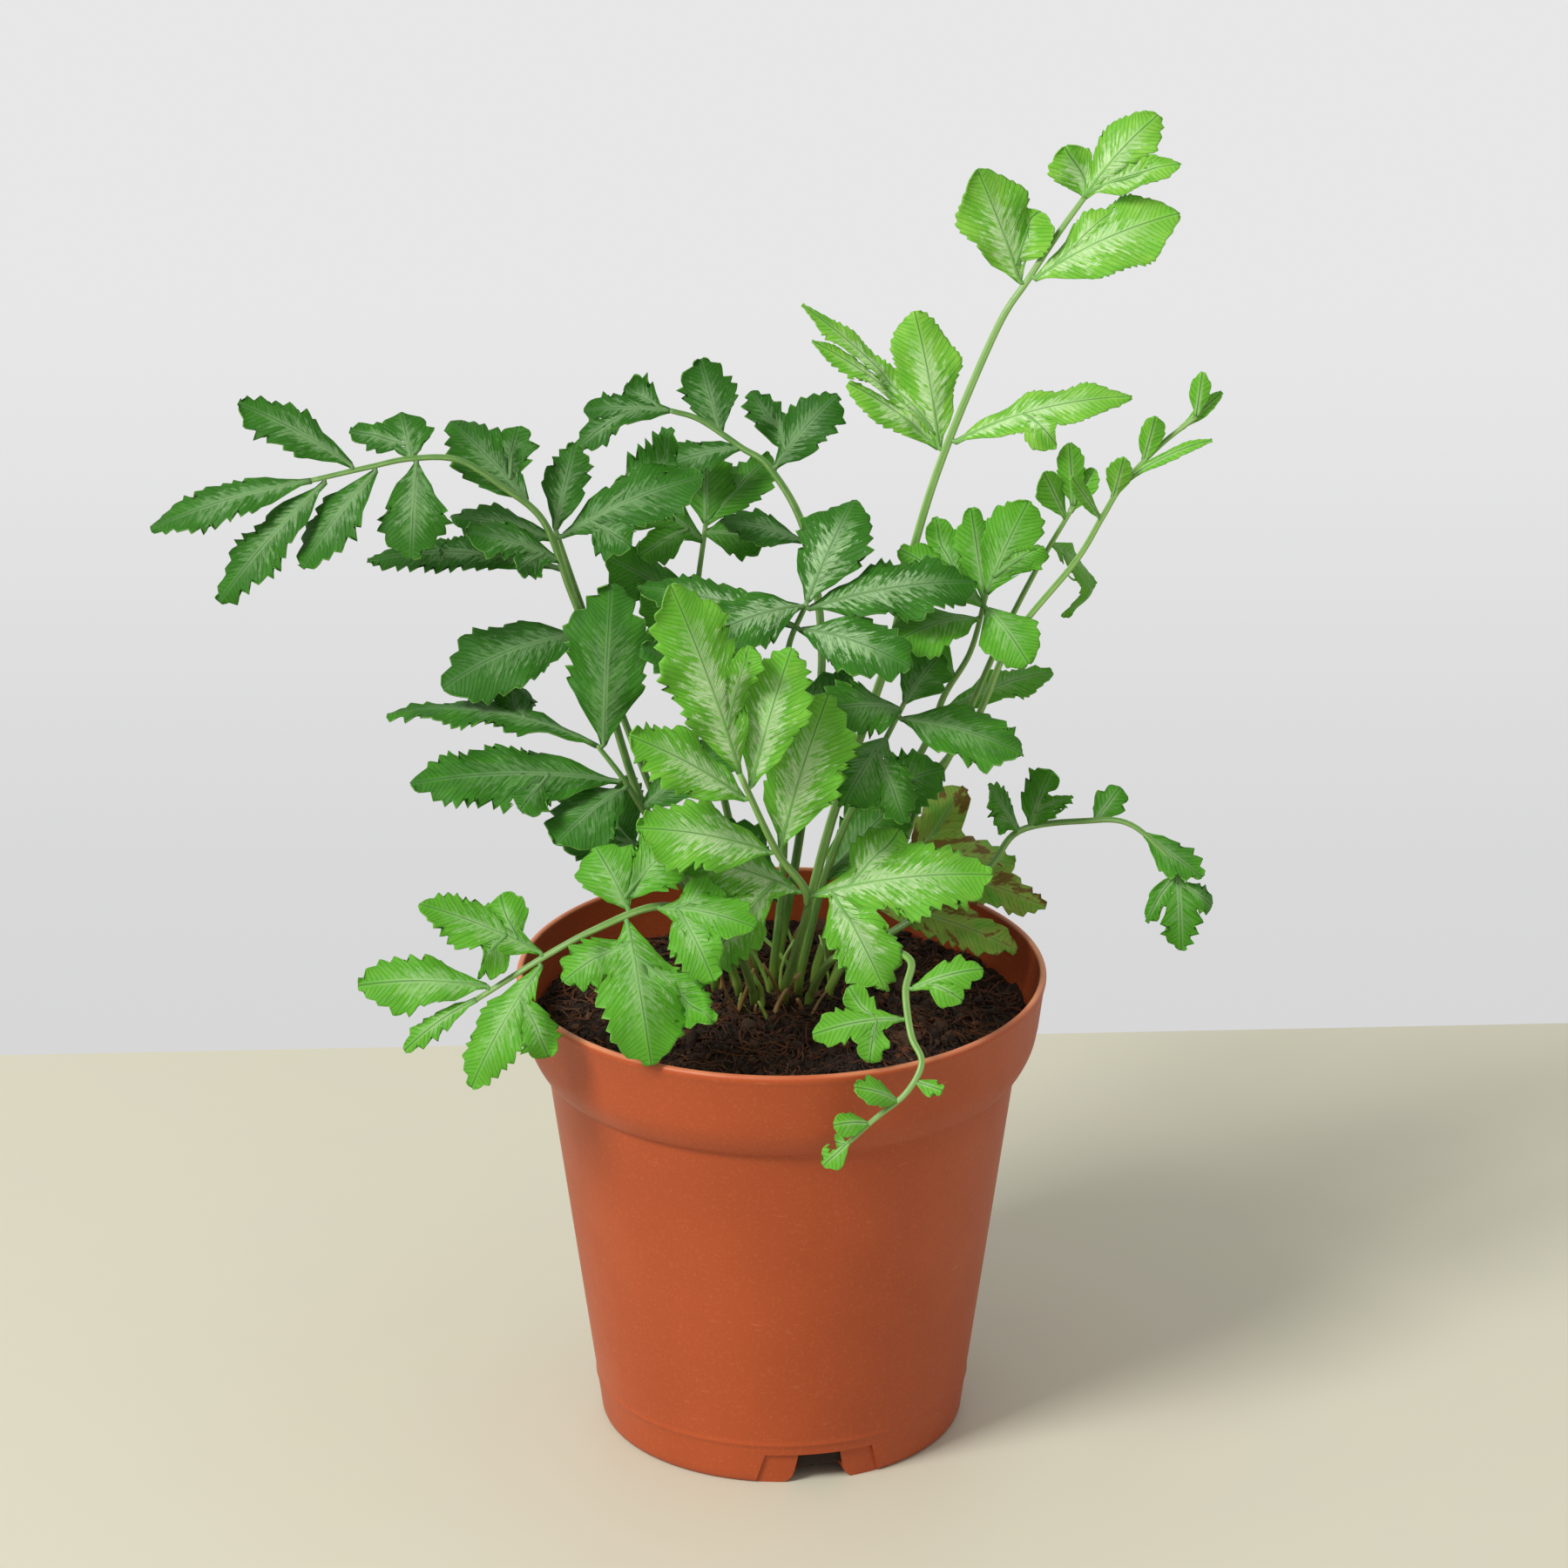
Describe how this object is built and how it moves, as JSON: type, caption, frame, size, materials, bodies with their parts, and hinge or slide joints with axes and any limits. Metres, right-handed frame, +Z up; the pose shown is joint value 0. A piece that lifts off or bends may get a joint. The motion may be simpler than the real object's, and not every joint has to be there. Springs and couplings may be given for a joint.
{
  "type": "potted fern",
  "caption": "Small silver-banded brake fern with saw-edged leaflets on long arching stems, in a round terracotta-coloured plastic nursery pot full of potting soil.",
  "frame": {"origin": "centre of the pot's underside, on the ground", "axes": "+Z up, front of the pot towards -Y, +X to its right as seen from the front; the slot at the pot's foot lies 12 degrees right of the front"},
  "size_m": [0.2066, 0.1114, 0.2644],
  "materials": {
    "pot_plastic": "satin",
    "soil": "rough",
    "stem": "satin",
    "leaf": "satin"
  },
  "bodies": {
    "root": {"pot": "pot_plastic", "soil": "soil", "tall_stem": "stem", "bud_long_stem": "stem", "bud_short_stem": "stem", "young_stem": "stem", "arching_stem": "stem", "front_stem": "stem", "low_left_stem": "stem", "hanging_stem": "stem", "spread_stem": "stem", "upper_left_stem": "stem", "back_stem": "stem", "centre_stem": "stem", "mid_left_stem": "stem", "low_back_stem": "stem", "mid_back_stem": "stem", "mid_right_stem": "stem", "back_right_stem": "stem", "tall_leaf_lower_left": "leaf", "tall_leaf_lower_right": "leaf", "tall_leaf_upper_left": "leaf", "tall_leaf_upper_right": "leaf", "young_leaf_low_left": "leaf", "young_leaf_low": "leaf", "young_leaf_right": "leaf", "front_leaf_low_right": "leaf", "front_leaf_low_left": "leaf", "front_leaf_mid_left": "leaf", "front_leaf_mid_right": "leaf", "front_leaf_upper_left": "leaf", "front_leaf_upper_right": "leaf", "low_left_leaf_inner_up": "leaf", "low_left_leaf_inner_right": "leaf", "low_left_leaf_inner_down": "leaf", "low_left_leaf_outer_up": "leaf", "low_left_leaf_outer_down": "leaf", "low_left_leaf_end_left": "leaf", "hanging_leaf_right": "leaf", "hanging_leaf_left": "leaf", "spread_leaf_end_down": "leaf", "spread_leaf_outer_up": "leaf", "spread_leaf_outer_down": "leaf", "spread_leaf_middle_down": "leaf", "spread_leaf_inner_up": "leaf", "upper_left_leaf_right": "leaf", "upper_left_leaf_left": "leaf", "upper_left_leaf_far_left": "leaf", "upper_left_leaf_low": "leaf", "back_leaf_right": "leaf", "back_leaf_low": "leaf", "centre_leaf_right": "leaf", "centre_leaf_low_right": "leaf", "centre_leaf_left": "leaf", "centre_leaf_low_left": "leaf", "mid_left_leaf_up": "leaf", "mid_left_leaf_low_left": "leaf", "mid_left_leaf_low": "leaf", "mid_right_leaf_right": "leaf", "mid_right_leaf_low": "leaf"}
  },
  "joints": []
}
